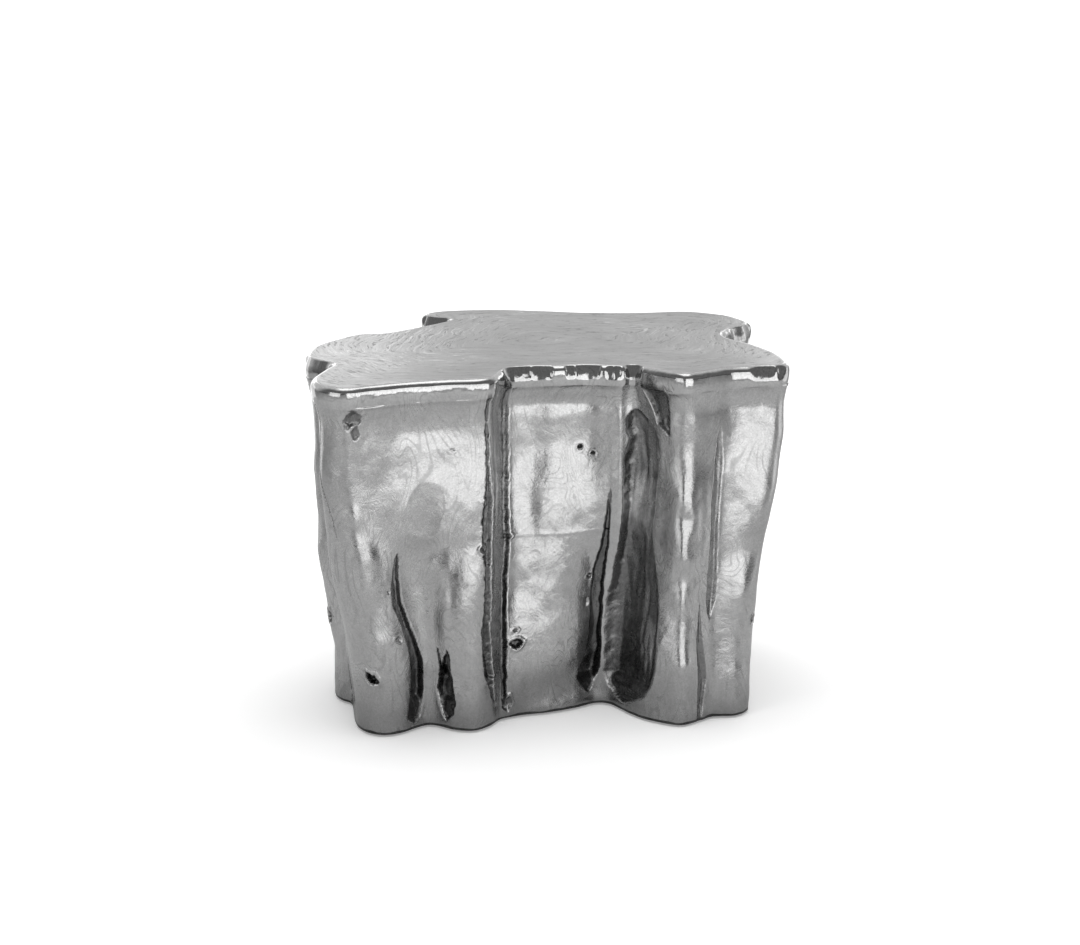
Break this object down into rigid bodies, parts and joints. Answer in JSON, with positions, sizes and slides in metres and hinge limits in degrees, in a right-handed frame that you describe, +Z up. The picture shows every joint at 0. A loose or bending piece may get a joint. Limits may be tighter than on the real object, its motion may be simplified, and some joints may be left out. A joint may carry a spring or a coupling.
{
  "type": "side table",
  "caption": "Low side table shaped like a polished cast-metal tree stump: lobed, creased hollow trunk, flat satin top with a bright rolled rim, screw-out levelling feet.",
  "frame": {"origin": "on the floor, under the middle of the table's box", "axes": "+Z up, +X to the right seen from the front, front towards -Y"},
  "size_m": [0.6018, 0.465, 0.44],
  "materials": {
    "satin_top": "satin, fine growth-ring grain",
    "polished_rim": "mirror polished",
    "polished_wall": "hand polished, hammered, dark in the cracks",
    "cast_inside": "as cast",
    "mild_steel": "mill finish",
    "zinc_steel": "zinc plated",
    "pad_plastic": "moulded",
    "grip_rubber": "matt"
  },
  "bodies": {
    "trunk": {"top_plate": "satin_top", "top_rim": "polished_rim", "top_bosses": "cast_inside", "top_rib_long": "mild_steel", "top_rib_front": "mild_steel", "top_rib_back": "mild_steel", "wall_front_lower": "polished_wall", "wall_front_upper": "polished_wall", "wall_front_right": "polished_wall", "wall_right": "polished_wall", "wall_back_right": "polished_wall", "wall_back": "polished_wall", "wall_back_left": "polished_wall", "wall_front_left": "polished_wall", "top_bolts": "zinc_steel", "top_washers": "zinc_steel", "base_plate": "mild_steel", "base_weld_nuts": "zinc_steel", "base_bolts": "zinc_steel", "leveller_weld_nuts": "zinc_steel", "leveller_lock_nuts": "zinc_steel", "top_bracket_1": "mild_steel", "top_bracket_2": "mild_steel", "top_bracket_3": "mild_steel", "top_bracket_4": "mild_steel", "top_bracket_5": "mild_steel", "top_bracket_6": "mild_steel", "base_bracket_1": "mild_steel", "base_bracket_2": "mild_steel", "base_bracket_3": "mild_steel", "base_bracket_4": "mild_steel", "base_bracket_5": "mild_steel", "base_bracket_6": "mild_steel"},
    "foot_1": {"foot_pad_1": "pad_plastic", "foot_stud_1": "zinc_steel", "foot_grip_1": "grip_rubber"},
    "foot_2": {"foot_pad_2": "pad_plastic", "foot_stud_2": "zinc_steel", "foot_grip_2": "grip_rubber"},
    "foot_3": {"foot_pad_3": "pad_plastic", "foot_stud_3": "zinc_steel", "foot_grip_3": "grip_rubber"},
    "foot_4": {"foot_pad_4": "pad_plastic", "foot_stud_4": "zinc_steel", "foot_grip_4": "grip_rubber"},
    "foot_5": {"foot_pad_5": "pad_plastic", "foot_stud_5": "zinc_steel", "foot_grip_5": "grip_rubber"}
  },
  "joints": [
    {"name": "foot_1_level", "type": "slide", "parent": "trunk", "child": "foot_1", "axis": [0, 0, -1], "range_m": [0, 0.012]},
    {"name": "foot_2_level", "type": "slide", "parent": "trunk", "child": "foot_2", "axis": [0, 0, -1], "range_m": [0, 0.012]},
    {"name": "foot_3_level", "type": "slide", "parent": "trunk", "child": "foot_3", "axis": [0, 0, -1], "range_m": [0, 0.012]},
    {"name": "foot_4_level", "type": "slide", "parent": "trunk", "child": "foot_4", "axis": [0, 0, -1], "range_m": [0, 0.012]},
    {"name": "foot_5_level", "type": "slide", "parent": "trunk", "child": "foot_5", "axis": [0, 0, -1], "range_m": [0, 0.012]}
  ]
}
